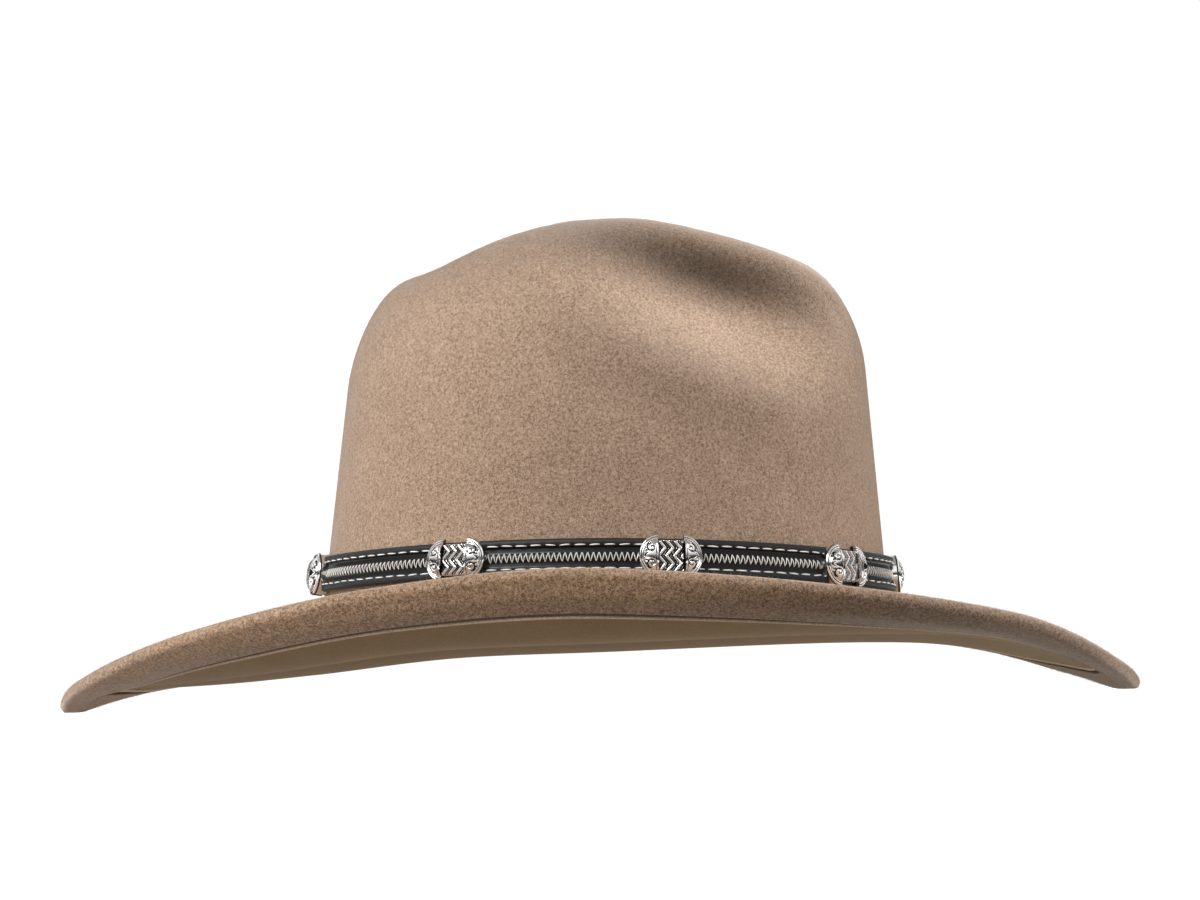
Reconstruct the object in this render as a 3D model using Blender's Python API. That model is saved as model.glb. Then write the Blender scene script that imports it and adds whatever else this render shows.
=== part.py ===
"""Western hat of wool felt with a leather band and silver slides.

The felt body is one solid: a pinched crown, a drooping brim with rolled sides, and a welt,
which is the brim's edge folded under. The leather band runs round the foot of the crown,
and eight cast silver slides sit on it. Metres, +Z up, the front of the hat towards +X.
The hat rests on the front and the back of its brim, which touch the plane z = 0.
"""

import math
from collections import namedtuple

import bmesh
import bpy
import numpy as np
from mathutils import Vector

for old in list(bpy.data.objects):
    bpy.data.objects.remove(old)

# Felt: its wall, and the folded edge of the brim
felt_wall = 0.0025
fold_bulge = 0.0004
welt_width = 0.0150
rest_flat = 0.0010

# Crown: outside sizes at the brim break, the line where the brim leaves the crown
crown_length = 0.2095
crown_width = 0.1720
crown_height = 0.1450
break_height = 0.0442
side_arch = 0.0042
break_fillet = 0.0019

# Brim: the reach of its folded edge from the crown's centre, and how high its sides roll
brim_front = 0.2000
brim_back = 0.2045
brim_side = 0.1660
roll_height = 0.0492

# Leather band
band_width = 0.0132
band_lift = 0.0022
band_thick = 0.0031
channel_depth = 0.0016
band_edge_width = 0.0031
band_bevel = 0.0009
fit_gap = 0.0003

# Silver slides
slide_length = 0.0222
slide_height = 0.0152
slide_bar_length = 0.0092
slide_bar_height = 0.0113
slide_cap_rise = 0.0039
slide_rim_rise = 0.0021
slide_bar_rise = 0.0014
rib_count = 3
rib_folds = 4
rib_rise = 0.0007
lip_reach = 0.0024
# The plain strip beside the ribs and the sway of their chevrons, in rib widths
rib_blank = 0.40
rib_sway = 0.24

# Mesh steps
columns = 60
wall_rows = 8
dome_rows = 10
brim_rows = 6
welt_rows = 3
fold_steps = 5
curve_steps = 40
slide_steps = 8

# The crown from three sides before it is creased. Reach is a share of half the crown's length or
# width, lean is the wall's slope inwards, and shoulder is a share of crown_height. A higher
# fullness gives a fuller shoulder, and a higher flatness a flatter top.
CrownSide = namedtuple("CrownSide", "reach lean shoulder fullness flatness")
CROWN = {
    "front": CrownSide(reach=1.010, lean=0.092, shoulder=0.60, fullness=3.7, flatness=1.85),
    "back": CrownSide(reach=1.010, lean=0.110, shoulder=0.55, fullness=3.9, flatness=1.80),
    "side": CrownSide(reach=1.000, lean=0.100, shoulder=0.57, fullness=2.4, flatness=2.2),
}

# The crease starts above this share of the crown's height and has its whole depth above the next.
crease_from = 0.40
crease_full = 0.90
# Nearer the middle plane than this share of the crown's width a side dent fades out.
dent_fade = 0.15

# Dents pressed into the crown. Ahead and up place the middle of the dent, and along, above and
# below are how far it runs from there, as shares of the crown's length and height. Width is a
# share of the crown's width at the back and front end of the top crease. The ridges beside the
# crease dip a little before and behind their peak.
TopCrease = namedtuple("TopCrease", "ahead behind_run ahead_run depth back_width front_width")
TOP_CREASE = TopCrease(
    ahead=-0.06, behind_run=0.36, ahead_run=0.48, depth=0.19, back_width=0.23, front_width=0.15
)
RidgeDip = namedtuple("RidgeDip", "ahead along depth")
RIDGE_DIPS = (RidgeDip(0.24, 0.22, 0.026), RidgeDip(-0.25, 0.22, 0.026))
SideDent = namedtuple("SideDent", "ahead up tilt along above below depth")
SIDE_DENT = SideDent(ahead=0.20, up=0.765, tilt=-17.0, along=0.26, above=0.17, below=0.27, depth=0.115)

# Where each slide is held on the band: its direction from the front, in degrees.
SLIDE_DIRECTIONS = (-172, -119.7, -77.8, -36.8, 7, 52, 98, 145)

# The brim's section by direction, from the front (0) to the back (180). Edge is the height of
# the edge as a share of roll_height. The brim leaves the crown and meets its edge at these
# angles above the level, and each handle is the share of the brim's reach that keeps its angle.
BrimSection = namedtuple("BrimSection", "direction edge leave leave_handle meet meet_handle")
BRIM = (
    BrimSection(0, 0.290, -15, 0.40, -26, 0.30),
    BrimSection(20, 0.420, -16, 0.42, -12, 0.32),
    BrimSection(45, 0.750, -17, 0.44, 26, 0.32),
    BrimSection(90, 1.000, -35, 0.58, 68, 0.42),
    BrimSection(112, 0.895, -35, 0.58, 56, 0.42),
    BrimSection(135, 0.625, -33, 0.56, 38, 0.43),
    BrimSection(160, 0.290, -28, 0.52, 5, 0.40),
    BrimSection(180, 0.120, -17, 0.40, -30, 0.30),
)


def bump(share):
    """1 in the middle, falling smoothly to 0 at a share of 1 either way."""
    return max(0.0, 1.0 - share * share) ** 2


def mix(first, second, share):
    return first + (second - first) * share


def brim_value(direction, column):
    """Reads one column of the brim table at a direction, on a smooth curve through its rows."""
    turn = abs((math.degrees(direction) + 180.0) % 360.0 - 180.0)
    rows = [(row.direction, getattr(row, column)) for row in BRIM]
    first, last = rows[1], rows[-2]
    rows = [(-first[0], first[1])] + rows + [(360.0 - last[0], last[1])]
    for k in range(1, len(rows) - 2):
        (a0, v0), (a1, v1), (a2, v2), (a3, v3) = rows[k - 1 : k + 3]
        if turn <= a2:
            break
    span = a2 - a1
    share = (turn - a1) / span
    start = (v2 - v0) / (a2 - a0) * span
    end = (v3 - v1) / (a3 - a1) * span
    cube, square = share**3, share**2
    return (
        (2 * cube - 3 * square + 1) * v1
        + (cube - 2 * square + share) * start
        + (3 * square - 2 * cube) * v2
        + (cube - square) * end
    )


def break_point(direction):
    """The corner between crown and brim."""
    return crown_wall(direction, 0.0)


def profile(side, half_size, base, rise):
    """Reach and height of one side of the open crown, a rise above the brim break.

    A rise over the shoulder is an angle in the dome: 1 to 2 stands for 0 to 90 degrees.
    """
    shoulder = side.shoulder * crown_height
    top = crown_height + break_height - base
    if rise <= 1.0:
        height, factor = shoulder * rise, 1.0
    else:
        angle = (rise - 1.0) * math.pi / 2
        height = shoulder + (top - shoulder) * math.sin(angle) ** (2.0 / side.flatness)
        factor = max(0.0, math.cos(angle)) ** (2.0 / side.fullness)
    return (half_size * side.reach - side.lean * height) * factor, base + height


def crown_at(direction, rise):
    """A point of the open crown: rise 0 is the brim break, 1 the shoulder and 2 the top."""
    side_base = break_height + side_arch
    front_reach, front_z = profile(CROWN["front"], crown_length / 2, break_height, rise)
    back_reach, back_z = profile(CROWN["back"], crown_length / 2, break_height, rise)
    side_reach, side_z = profile(CROWN["side"], crown_width / 2, side_base, rise)
    ahead = (1 + math.cos(direction)) / 2
    sideways = math.sin(direction) ** 2
    x = math.cos(direction) * mix(back_reach, front_reach, ahead)
    y = math.sin(direction) * side_reach
    z = mix(mix(back_z, front_z, ahead), side_z, sideways)
    return Vector((x, y, z))


def crown_wall(direction, height):
    """A point of the crown's outer wall a height above the brim break."""
    ahead = (1 + math.cos(direction)) / 2
    end = mix(CROWN["back"].shoulder, CROWN["front"].shoulder, ahead)
    shoulder = mix(end, CROWN["side"].shoulder, math.sin(direction) ** 2) * crown_height
    return crown_at(direction, height / shoulder)


def creased(point):
    """Presses the top crease and the two side dents into a point of the open crown."""
    x, y, z = point
    crease = TOP_CREASE
    run = x / crown_length - crease.ahead
    run_share = run / (crease.ahead_run if run > 0 else crease.behind_run)
    forward = (x / crown_length - crease.ahead + crease.behind_run) / (
        crease.behind_run + crease.ahead_run
    )
    width = mix(crease.back_width, crease.front_width, min(1.0, max(0.0, forward))) * crown_width
    height_share = (z - break_height) / crown_height
    top_share = min(1.0, max(0.0, (height_share - crease_from) / (crease_full - crease_from)))
    fall = crease.depth * bump(run_share) * bump(y / width)
    fall += sum(dip.depth * bump((x / crown_length - dip.ahead) / dip.along) for dip in RIDGE_DIPS)
    fall *= crown_height * top_share
    dent = SIDE_DENT
    tilt = math.radians(dent.tilt)
    ahead = x - dent.ahead * crown_length
    up = z - break_height - dent.up * crown_height
    along = ahead * math.cos(tilt) + up * math.sin(tilt)
    across = up * math.cos(tilt) - ahead * math.sin(tilt)
    reach = dent.above if across > 0 else dent.below
    push = dent.depth * crown_width
    push *= bump(along / (dent.along * crown_length)) * bump(across / (reach * crown_height))
    push *= min(1.0, abs(y) / (dent_fade * crown_width)) ** 2
    return Vector((x, y - math.copysign(push, y), z - fall))


def brim_section(direction):
    """The brim's top face at one direction, from the crown's break to the edge, as a curve."""
    start = break_point(direction)
    fold_radius = felt_wall + fold_bulge / 2
    ahead = (1 + math.cos(direction)) / 2
    meet = math.radians(brim_value(direction, "meet"))
    inset = fold_radius * (1 + max(0.0, math.sin(meet)))
    end_reach = mix(brim_back, brim_front, ahead) - inset
    end = Vector(
        (
            math.cos(direction) * end_reach,
            math.sin(direction) * (brim_side - inset),
            brim_value(direction, "edge") * roll_height,
        )
    )
    out = Vector((end.x - start.x, end.y - start.y, 0.0))
    reach = out.length
    out.normalize()
    leave = math.radians(brim_value(direction, "leave"))
    first = out * math.cos(leave) + Vector((0, 0, math.sin(leave)))
    last = out * math.cos(meet) + Vector((0, 0, math.sin(meet)))
    handle_one = start + first * (reach * brim_value(direction, "leave_handle"))
    handle_two = end - last * (reach * brim_value(direction, "meet_handle"))
    samples = []
    for k in range(curve_steps + 1):
        t = k / curve_steps
        one, two = (1 - t) ** 3, 3 * t * (1 - t) ** 2
        samples.append(start * one + handle_one * two + handle_two * (3 * t * t * (1 - t)) + end * t**3)
    return samples


def along_curve(samples, distances):
    """Points at these distances along a curve. A negative distance counts back from its end."""
    steps = [(b - a).length for a, b in zip(samples, samples[1:])]
    total = sum(steps)
    found = []
    for distance in distances:
        left = distance if distance >= 0 else total + distance
        for k, step in enumerate(steps):
            if left <= step or k == len(steps) - 1:
                break
            left -= step
        found.append(samples[k].lerp(samples[k + 1], min(1.0, left / step)))
    return found


def outer_rows():
    """Rings of the felt's outer face, from the top of the crown to the edge of the brim."""
    directions = [(c + 0.5) * 2 * math.pi / columns for c in range(columns)]
    rows = []
    for k in range(1, dome_rows + 1):
        rise = 2.0 - k / dome_rows
        rows.append([creased(crown_at(d, rise)) for d in directions])
    for k in range(1, wall_rows):
        rise = 1.0 - k / wall_rows
        rows.append([creased(crown_at(d, rise)) for d in directions])
    sections = [brim_section(d) for d in directions]
    foot = [crown_wall(d, break_fillet) for d in directions]
    toe = [along_curve(s, [break_fillet])[0] for s in sections]
    rows.append(foot)
    rows.append([f * 0.25 + s[0] * 0.5 + t * 0.25 for f, s, t in zip(foot, sections, toe)])
    rows.append(toe)
    flat = [sum((b - a).length for a, b in zip(s, s[1:])) - welt_width for s in sections]
    for k in range(1, brim_rows + 1):
        share = k / brim_rows
        rows.append(
            [
                along_curve(s, [mix(break_fillet, f, share)])[0]
                for s, f in zip(sections, flat)
            ]
        )
    for k in range(1, welt_rows):
        rows.append([along_curve(s, [-welt_width * (1 - k / welt_rows)])[0] for s in sections])
    rows.append([s[-1] for s in sections])
    return rows, len(rows) - 1 - welt_rows


def row_normals(rows, top):
    """Outward normals of the rings, from the ring and column on either side of each point."""
    grid = np.array([[tuple(p) for p in row] for row in rows])
    grid = np.concatenate([np.repeat(np.array([[tuple(top)]]), grid.shape[1], axis=1), grid])
    down = np.empty_like(grid)
    steps = grid[1:] - grid[:-1]
    steps /= np.linalg.norm(steps, axis=2, keepdims=True)
    down[1:-1] = steps[1:] + steps[:-1]
    down[0], down[-1] = steps[0], steps[-1]
    around = np.roll(grid, -1, axis=1) - np.roll(grid, 1, axis=1)
    normals = np.cross(down[1:], around[1:])
    normals /= np.linalg.norm(normals, axis=2, keepdims=True)
    return [[Vector(n) for n in row] for row in normals]


def felt_rings():
    """All rings of the felt solid, from the outer top over the brim to the inner top."""
    rows, welt_row = outer_rows()
    top = creased(crown_at(0.0, 2.0))
    normals = row_normals(rows, top)
    rings = list(rows)
    fold = 2 * felt_wall + fold_bulge
    edge, edge_normals, before = rows[-1], normals[-1], rows[-2]
    outward = [
        ((p - q) - n * (p - q).dot(n)).normalized() for p, q, n in zip(edge, before, edge_normals)
    ]
    for k in range(1, fold_steps + 1):
        turn = k * math.pi / fold_steps
        rings.append(
            [
                p - n * (fold / 2) + (n * math.cos(turn) + o * math.sin(turn)) * (fold / 2)
                for p, n, o in zip(edge, edge_normals, outward)
            ]
        )
    for k in range(len(rows) - 2, welt_row - 1, -1):
        rings.append([p - n * fold for p, n in zip(rows[k], normals[k])])
    for k in range(welt_row, -1, -1):
        rings.append([p - n * felt_wall for p, n in zip(rows[k], normals[k])])
    return rings, top, top - Vector((0, 0, felt_wall))


def resting(rings):
    """The pitch and the shift that set the hat down on the front and back of its brim."""
    points = np.array([tuple(p) for ring in rings for p in ring])
    pitch = 0.0
    for _ in range(4):
        turned = points[:, 2] * math.cos(pitch) - points[:, 0] * math.sin(pitch)
        front = np.argmin(np.where(points[:, 0] > 0, turned, np.inf))
        back = np.argmin(np.where(points[:, 0] < 0, turned, np.inf))
        rise = points[front, 2] - points[back, 2]
        pitch = math.atan2(rise, points[front, 0] - points[back, 0])
    x = points[:, 0] * math.cos(pitch) + points[:, 2] * math.sin(pitch)
    z = points[:, 2] * math.cos(pitch) - points[:, 0] * math.sin(pitch)
    return pitch, -(x.min() + x.max()) / 2, -z.min() - rest_flat


felt = felt_rings()
rest_pitch, rest_shift, rest_lift = resting(felt[0])


def at_rest(point):
    """Moves a point of the level hat to where it is when the hat rests on its brim."""
    x = point.x * math.cos(rest_pitch) + point.z * math.sin(rest_pitch) + rest_shift
    z = point.z * math.cos(rest_pitch) - point.x * math.sin(rest_pitch) + rest_lift
    return Vector((x, point.y, max(0.0, z)))


def material(name, colour, roughness, metallic=0.0):
    made = bpy.data.materials.new(name)
    made.use_nodes = True
    shader = made.node_tree.nodes["Principled BSDF"]
    shader.inputs["Base Color"].default_value = (*colour, 1.0)
    shader.inputs["Roughness"].default_value = roughness
    shader.inputs["Metallic"].default_value = metallic
    made.diffuse_color = (*colour, 1.0)
    return made


def add_object(name, mesh, finish):
    mesh.materials.append(finish)
    mesh.shade_smooth()
    mesh.set_sharp_from_angle(angle=math.radians(40))
    made = bpy.data.objects.new(name, mesh)
    bpy.context.scene.collection.objects.link(made)
    return made


def ringed_mesh(name, rings, closed_round, start=None, end=None):
    """A mesh through rings of points. It closes on a start and end point, or as a loop."""
    work = bmesh.new()
    made = [[work.verts.new(p) for p in ring] for ring in rings]
    pairs = list(zip(made, made[1:]))
    if closed_round:
        pairs.append((made[-1], made[0]))
    count = len(made[0])
    for one, two in pairs:
        for k in range(count):
            n = (k + 1) % count
            work.faces.new((one[k], two[k], two[n], one[n]))
    for point, ring in ((start, made[0]), (end, made[-1])):
        if point is None:
            continue
        pole = work.verts.new(point)
        for k in range(count):
            work.faces.new((pole, ring[k], ring[(k + 1) % count]))
    bmesh.ops.recalc_face_normals(work, faces=work.faces)
    mesh = bpy.data.meshes.new(name)
    work.to_mesh(mesh)
    work.free()
    return mesh


def make_felt():
    rings, top, inner_top = felt
    rings = [[at_rest(p) for p in ring] for ring in rings]
    mesh = ringed_mesh("felt_body", rings, False, at_rest(top), at_rest(inner_top))
    add_object("felt_body", mesh, material("felt", (0.35, 0.24, 0.165), 0.95))


def on_band(direction, up, out):
    """A point on the crown's wall, up from the band's lower edge and out from the felt."""
    # Small enough, in metres and in radians, to read the wall's own direction
    step = 0.001
    height = band_lift + up
    point = crown_wall(direction, height)
    rise = crown_wall(direction, height + step) - crown_wall(direction, height - step)
    turn = crown_wall(direction + step, height) - crown_wall(direction - step, height)
    return point + turn.cross(rise).normalized() * out


def band_outline():
    """The band's section as up and out: a flat back, two raised folded edges, a low channel."""
    front = fit_gap + band_thick
    floor = front - channel_depth
    bevel = band_bevel
    edge = band_edge_width
    lower = [(0.0, fit_gap), (0.0, front - bevel), (bevel, front)]
    lower += [(edge - bevel / 2, front), (edge, floor)]
    upper = [(band_width - up, out) for up, out in reversed(lower)]
    return lower + upper


def make_band():
    rings = []
    for c in range(columns):
        direction = (c + 0.5) * 2 * math.pi / columns
        rings.append([at_rest(on_band(direction, up, out)) for up, out in band_outline()])
    mesh = ringed_mesh("hatband", rings, True)
    add_object("hatband", mesh, material("leather", (0.012, 0.012, 0.012), 0.45))


def band_places():
    """Two functions: the place along the band's middle at a direction, and the reverse."""
    turns = np.linspace(0.0, 2 * math.pi, 721)
    points = np.array([tuple(on_band(turn, band_width / 2, 0.0)) for turn in turns])
    steps = np.diff(points, axis=0, prepend=points[:1])
    lengths = np.cumsum(np.linalg.norm(steps, axis=1))
    return (
        lambda direction: float(np.interp(direction % (2 * math.pi), turns, lengths)),
        lambda place: float(np.interp(place % lengths[-1], lengths, turns)),
    )


def rings_along(name, rings):
    """A closed mesh through rings of points, with a flat face over each end."""
    work = bmesh.new()
    made = [[work.verts.new(p) for p in ring] for ring in rings]
    count = len(made[0])
    for one, two in zip(made, made[1:]):
        for k in range(count):
            n = (k + 1) % count
            work.faces.new((one[k], one[n], two[n], two[k]))
    work.faces.new(made[0])
    work.faces.new(made[-1])
    bmesh.ops.recalc_face_normals(work, faces=work.faces)
    mesh = bpy.data.meshes.new(name)
    work.to_mesh(mesh)
    work.free()
    return bpy.data.objects.new(name, mesh)


seat = 2 * fit_gap + band_thick


def cap_solid(side):
    """One half-moon cap: a straight wall towards the bar, a raised rim and a domed middle."""
    rim = seat + slide_rim_rise
    top = seat + slide_cap_rise
    length = (slide_length - slide_bar_length) / 2
    # Scale of the half-moon outline and height of each ring, from the lips to the dome
    rings = (
        (1.00, seat - fit_gap - lip_reach),
        (1.00, mix(seat, rim, 0.8)),
        (0.93, rim),
        (0.80, mix(seat, rim, 0.9)),
        (0.45, mix(rim, top, 0.8)),
        (0.12, top),
    )
    turns = [math.pi * (k / slide_steps - 0.5) for k in range(slide_steps + 1)]
    outline = [(length * math.cos(q), slide_height / 2 * math.sin(q)) for q in turns]
    wall = slide_bar_length / 2
    points = [[(side * (wall + a * s), b * s, z) for a, b in outline] for s, z in rings]
    return rings_along("cap", points)


def bar_solid():
    """The lower bar between the caps, whose face is folded into upright chevrons."""
    rib_pitch = slide_bar_length / (rib_count + rib_blank)
    sway = rib_pitch * rib_sway
    end = slide_bar_length / 2 + fit_gap
    face = seat + slide_bar_rise
    rings = []
    for station in range(rib_folds + 1):
        up = slide_bar_height * (station / rib_folds - 0.5)
        shift = sway if station % 2 else -sway
        ring = [(-end, up, seat - fit_gap), (-end, up, face)]
        for k in range(2 * rib_count + 1):
            across = (k - rib_count) * rib_pitch / 2 + shift
            ring.append((across, up, face + rib_rise * (k % 2)))
        ring += [(end, up, face), (end, up, seat - fit_gap)]
        rings.append(ring)
    return rings_along("bar", rings)


def channel_cutter():
    """The space that the band takes up behind the slide, with room to pass."""
    half = band_width / 2 + fit_gap
    rings = []
    for k in range(slide_steps + 1):
        along = slide_length * (k / slide_steps - 0.5) * 1.2
        rings.append([(along, -half, 0.0), (along, half, 0.0), (along, half, seat), (along, -half, seat)])
    return rings_along("channel", rings)


def slide_shape():
    """The flat slide, its caps and bar fused and the band's channel cut from its back."""
    shape = bar_solid()
    others = [("UNION", cap_solid(-1)), ("UNION", cap_solid(1)), ("DIFFERENCE", channel_cutter())]
    scene = bpy.context.scene.collection
    scene.objects.link(shape)
    for operation, other in others:
        scene.objects.link(other)
        other.hide_render = True
        other.display_type = "WIRE"
        cut = shape.modifiers.new(other.name, "BOOLEAN")
        cut.operation = operation
        cut.object = other
    bpy.context.view_layer.update()
    graph = bpy.context.evaluated_depsgraph_get()
    mesh = bpy.data.meshes.new_from_object(shape.evaluated_get(graph))
    for _, other in others:
        bpy.data.objects.remove(other)
    bpy.data.objects.remove(shape)
    return mesh


def make_slides():
    finish = material("silver", (0.78, 0.77, 0.74), 0.25, 1.0)
    flat = slide_shape()
    place_at, direction_at = band_places()
    for k, degrees in enumerate(SLIDE_DIRECTIONS):
        place = place_at(math.radians(degrees))
        mesh = flat.copy()
        for vertex in mesh.vertices:
            along, up, out = vertex.co
            spot = on_band(direction_at(place + along), up + band_width / 2, out)
            vertex.co = at_rest(spot)
        add_object(f"slide_{k + 1}", mesh, finish)
    bpy.data.meshes.remove(flat)


make_felt()
make_band()
make_slides()
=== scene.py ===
# %% [markdown]
# # A wool felt western hat
#
# This lesson dresses the solid model of a hat: a felt body, a leather hatband and eight silver
# slides. Each gets the surface of the real thing: the nap of the felt, the cut edge of the welt
# under the brim, the folded and stitched leather, and the carved silver. Everything is in
# metres, with the front of the hat towards +X.

import math

import bmesh
import bpy
import numpy as np
from mathutils import Matrix, Vector
from mathutils.kdtree import KDTree


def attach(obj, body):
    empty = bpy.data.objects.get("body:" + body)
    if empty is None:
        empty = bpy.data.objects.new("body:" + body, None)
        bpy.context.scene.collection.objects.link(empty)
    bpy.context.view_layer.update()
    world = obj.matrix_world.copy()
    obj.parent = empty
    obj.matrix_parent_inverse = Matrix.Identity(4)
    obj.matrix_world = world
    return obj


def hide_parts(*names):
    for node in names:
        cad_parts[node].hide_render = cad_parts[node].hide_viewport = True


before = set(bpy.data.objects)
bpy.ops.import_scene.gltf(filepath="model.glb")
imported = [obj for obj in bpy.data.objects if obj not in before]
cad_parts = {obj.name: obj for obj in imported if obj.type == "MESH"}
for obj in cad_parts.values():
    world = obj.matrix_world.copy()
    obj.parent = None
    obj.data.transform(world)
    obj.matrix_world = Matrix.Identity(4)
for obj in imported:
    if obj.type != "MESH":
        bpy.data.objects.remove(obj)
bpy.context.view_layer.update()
MM = 0.001
print("loaded", len(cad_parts), "solids")

# %% [markdown]
# ## Camera
#
# The hat was photographed from the side with a long lens, from 1.5 m away. The camera stands
# almost on the surface that the hat rests on, looks up by a few degrees, and leans a little,
# so that the front of the brim is higher in the picture than the back.

# %% Camera
scene = bpy.context.scene
CAMERA_PLACE = Vector((0.0019, -1.5, 0.0015))
LENS_MM = 119.7
LOOK_UP_DEG = 3.54
LEAN_DEG = 1.3

bpy.ops.object.camera_add(location=CAMERA_PLACE)
camera = bpy.context.object
camera.name = "photo_camera"
camera.data.lens = LENS_MM
camera.data.sensor_width = 36.0
aim = Matrix.Rotation(math.radians(90 + LOOK_UP_DEG), 4, "X")
lean = Matrix.Rotation(math.radians(-LEAN_DEG), 4, "Z")
camera.matrix_world = Matrix.Translation(CAMERA_PLACE) @ aim @ lean
scene.camera = camera
print("camera looks up by", LOOK_UP_DEG, "degrees")

# %% [markdown]
# ## Helpers for modelling by hand
#
# Operators act on whatever is selected, and the loaded solids come in selected. So each step
# begins with nothing selected, makes one piece active, and picks its parts by place.

# %% Helpers
def deselect():
    """Leaves edit mode and selects nothing."""
    if bpy.context.object and bpy.context.object.mode != "OBJECT":
        bpy.ops.object.mode_set(mode="OBJECT")
    bpy.ops.object.select_all(action="DESELECT")


def activate(piece):
    """Selects one piece alone."""
    deselect()
    piece.select_set(True)
    bpy.context.view_layer.objects.active = piece


def edit(piece, mode="FACE"):
    """Opens edit mode with nothing selected, and returns the mesh for picking."""
    activate(piece)
    bpy.ops.object.mode_set(mode="EDIT")
    bpy.ops.mesh.select_mode(type=mode)
    bpy.ops.mesh.select_all(action="DESELECT")
    return bmesh.from_edit_mesh(piece.data)


def pick(piece, mesh, parts):
    """Selects faces or edges of a piece in edit mode."""
    for part in parts:
        part.select = True
    mesh.select_flush_mode()
    bmesh.update_edit_mesh(piece.data)


def on_all(piece, step, **settings):
    """Runs one mesh operator on a whole piece."""
    edit(piece)
    bpy.ops.mesh.select_all(action="SELECT")
    step(**settings)
    bpy.ops.object.mode_set(mode="OBJECT")


def flat_grid(name, columns, rows):
    """A flat grid of faces, to be laid in shape point by point."""
    deselect()
    bpy.ops.mesh.primitive_grid_add(x_subdivisions=columns, y_subdivisions=rows, size=1.0)
    bpy.context.object.name = name
    return bpy.context.object


def new_piece(name, data):
    """A new piece in the scene, made of this data."""
    piece = bpy.data.objects.new(name, data)
    scene.collection.objects.link(piece)
    return piece


def put_points(piece, points):
    """Moves all points of a piece, in their order."""
    piece.data.vertices.foreach_set("co", np.asarray(points, np.float32).reshape(-1))
    piece.data.update()


def paint(piece, name, values):
    """Stores one number for each point of a piece, for its material to read."""
    layer = piece.data.attributes.new(name, "FLOAT", "POINT")
    layer.data.foreach_set("value", np.asarray(values, np.float32).reshape(-1))


def smooth(piece):
    piece.data.polygons.foreach_set("use_smooth", np.ones(len(piece.data.polygons), bool))


def finish_faces(piece):
    """Turns every face of a closed piece outwards, and shades it smooth."""
    on_all(piece, bpy.ops.mesh.normals_make_consistent, inside=False)
    smooth(piece)


def settle(piece, *replaced):
    """Rides the finished piece on the hat, in place of the solids that it stands for."""
    activate(piece)
    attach(piece, "root")
    if replaced:
        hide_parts(*replaced)


print("helpers ready")

# %% [markdown]
# ## The shape of the hat in numbers
#
# A felt hat is blocked: the felt is steamed and pulled over a form, and then pinched. The solid
# was drawn with a few curves, and the same curves lay the smooth felt on it here. The crown is
# an oval that leans in towards the top.

# %% Sizes of the felt
FELT_WALL, FOLD_BULGE = 2.5 * MM, 0.4 * MM
WELT_WIDTH = 15.0 * MM
CROWN_LENGTH, CROWN_WIDTH, CROWN_HEIGHT = 209.5 * MM, 172.0 * MM, 145.0 * MM
BREAK_HEIGHT, SIDE_ARCH, BREAK_FILLET = 44.2 * MM, 4.2 * MM, 1.9 * MM
BRIM_FRONT, BRIM_BACK, BRIM_SIDE = 200.0 * MM, 204.5 * MM, 166.0 * MM
ROLL_HEIGHT = 49.2 * MM

# Reach, lean, shoulder, fullness and flatness of the crown seen from three sides
CROWN_FRONT = (1.010, 0.092, 0.60, 3.7, 1.85)
CROWN_BACK = (1.010, 0.110, 0.55, 3.9, 1.80)
CROWN_SIDE = (1.000, 0.100, 0.57, 2.4, 2.2)


def mix(first, second, share):
    return first + (second - first) * share


def bump(share):
    """1 in the middle, falling smoothly to 0 at a share of 1 either way."""
    return np.maximum(0.0, 1.0 - share * share) ** 2


def profile(side, half_size, base, rise):
    """Reach and height of one side of the crown. Rise 1 is the shoulder and 2 the top."""
    reach, lean, shoulder, fullness, flatness = side
    shoulder *= CROWN_HEIGHT
    top = CROWN_HEIGHT + BREAK_HEIGHT - base
    if rise <= 1.0:
        height, factor = shoulder * rise, 1.0
    else:
        angle = (rise - 1.0) * math.pi / 2
        height = shoulder + (top - shoulder) * math.sin(angle) ** (2.0 / flatness)
        factor = max(0.0, math.cos(angle)) ** (2.0 / fullness)
    return (half_size * reach - lean * height) * factor, base + height


def crown_at(direction, rise):
    """A point of the open crown, before it is pinched."""
    front_reach, front_z = profile(CROWN_FRONT, CROWN_LENGTH / 2, BREAK_HEIGHT, rise)
    back_reach, back_z = profile(CROWN_BACK, CROWN_LENGTH / 2, BREAK_HEIGHT, rise)
    side_reach, side_z = profile(CROWN_SIDE, CROWN_WIDTH / 2, BREAK_HEIGHT + SIDE_ARCH, rise)
    ahead = (1 + math.cos(direction)) / 2
    x = math.cos(direction) * mix(back_reach, front_reach, ahead)
    z = mix(mix(back_z, front_z, ahead), side_z, math.sin(direction) ** 2)
    return Vector((x, math.sin(direction) * side_reach, z))


def crown_wall(direction, height):
    """A point of the crown's wall, a height above the line where the brim leaves it."""
    ahead = (1 + math.cos(direction)) / 2
    end = mix(CROWN_BACK[2], CROWN_FRONT[2], ahead)
    shoulder = mix(end, CROWN_SIDE[2], math.sin(direction) ** 2) * CROWN_HEIGHT
    return crown_at(direction, height / shoulder)


print("crown", CROWN_LENGTH, "x", CROWN_WIDTH)

# %% [markdown]
# ## The pinch
#
# A crease runs along the top of the crown and deepens in the middle, and a thumb and fingers
# press a dent into each side of the front. All three are soft: felt can't take a sharp bend.

# %% Crease and dents
CREASE_FROM, CREASE_FULL, DENT_FADE = 0.40, 0.90, 0.15
CREASE = {"ahead": -0.06, "behind": 0.36, "front": 0.48, "depth": 0.19, "width": (0.23, 0.15)}

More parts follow.
